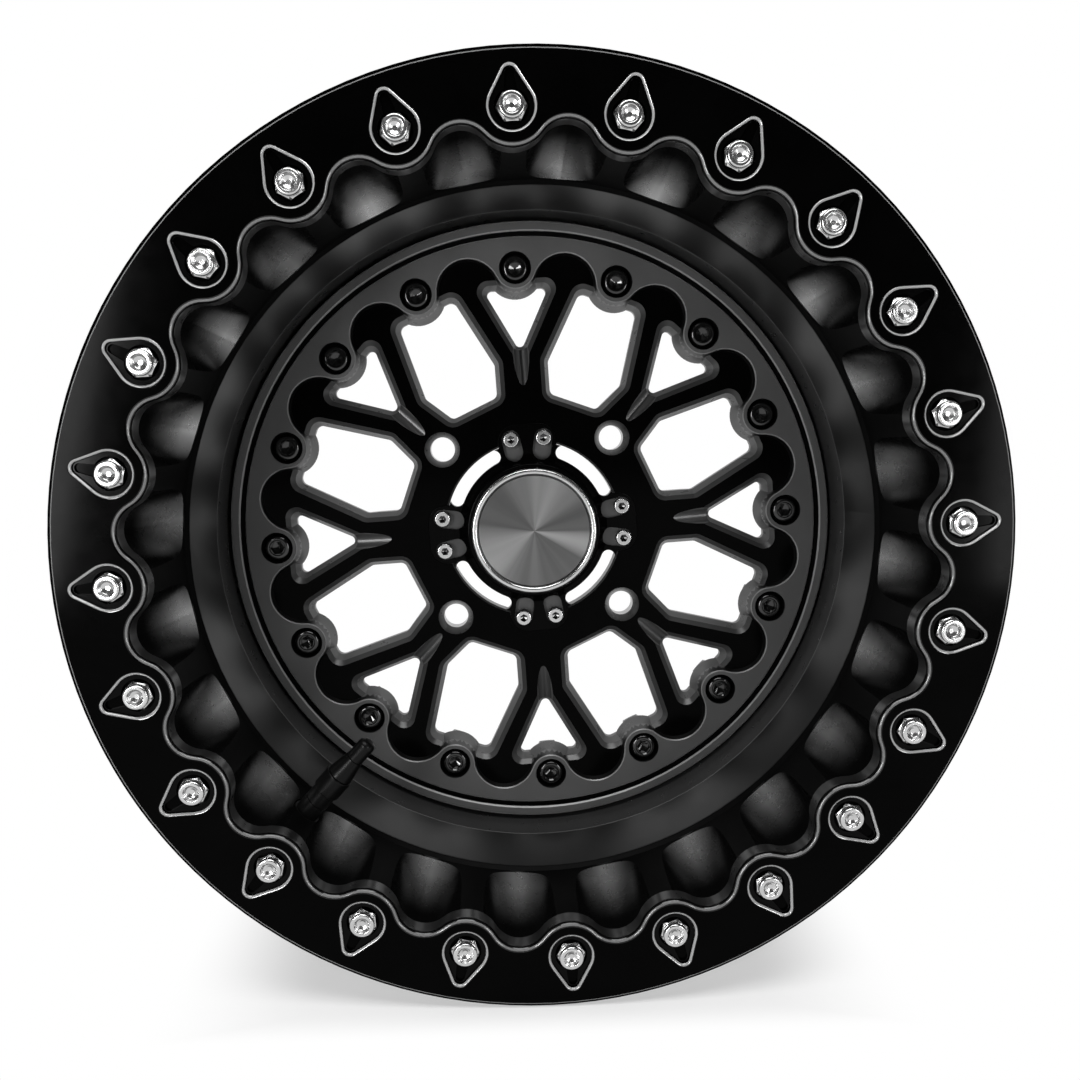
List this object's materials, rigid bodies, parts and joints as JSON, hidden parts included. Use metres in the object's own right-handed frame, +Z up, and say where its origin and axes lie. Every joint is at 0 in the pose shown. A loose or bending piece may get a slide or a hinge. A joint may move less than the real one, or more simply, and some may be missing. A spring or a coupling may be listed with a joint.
{
  "type": "beadlock car wheel",
  "caption": "Upright beadlock wheel: bolted scalloped clamp ring, fluted two-part barrel, forked-spoke mesh centre disc, screwed hub cap and a tyre valve with a removable dust cap.",
  "frame": {"origin": "centre of the hub pilot bore, in the plane of the hub mounting face", "axes": "+Z up, -Y outboard along the wheel axis towards the viewer of the wheel's front, +Y inboard towards the vehicle, +X to the right seen from the front"},
  "size_m": [0.4479, 0.234, 0.448],
  "materials": {
    "gloss_black_metal": "gloss black coating",
    "satin_black_metal": "satin black coating",
    "disc_metal": "gloss black faces with satin dark grey flange and milled bevels",
    "chrome_steel": "polished",
    "black_steel": "gloss black oxide",
    "seal_rubber": "matte",
    "cap_plastic": "gloss black with satin slot floors",
    "polished_metal": "polished",
    "brushed_metal": "turned and brushed",
    "valve_black_metal": "satin black anodised",
    "valve_brass": "machined",
    "valve_cap_plastic": "matte black"
  },
  "bodies": {
    "wheel": {"beadlock_ring": "gloss_black_metal", "beadlock_bolts": "chrome_steel", "outer_barrel": "satin_black_metal", "inner_barrel": "satin_black_metal", "barrel_seal": "seal_rubber", "centre_disc": "disc_metal", "centre_bolts": "black_steel", "centre_nuts": "black_steel", "cap_base": "cap_plastic", "cap_screws": "chrome_steel", "cap_bezel": "polished_metal", "cap_plate": "brushed_metal", "valve_grommet": "seal_rubber", "valve_washer": "valve_black_metal", "valve_nut": "valve_black_metal", "valve_sleeve": "valve_black_metal", "valve_stem": "valve_brass", "valve_core": "valve_brass"},
    "dust_cap": {"valve_cap": "valve_cap_plastic", "valve_cap_seal": "seal_rubber"},
    "valve_pin": {"valve_pin": "valve_brass"}
  },
  "joints": [
    {"name": "dust_cap_off", "type": "slide", "parent": "wheel", "child": "dust_cap", "axis": [0.6509, -0.1045, 0.7519], "range_m": [0, 0.014]},
    {"name": "valve_pin_press", "type": "slide", "parent": "wheel", "child": "valve_pin", "axis": [-0.6509, 0.1045, -0.7519], "range_m": [0, 0.0012], "stiffness_N_per_m": 300, "springref_m": -0.001}
  ]
}
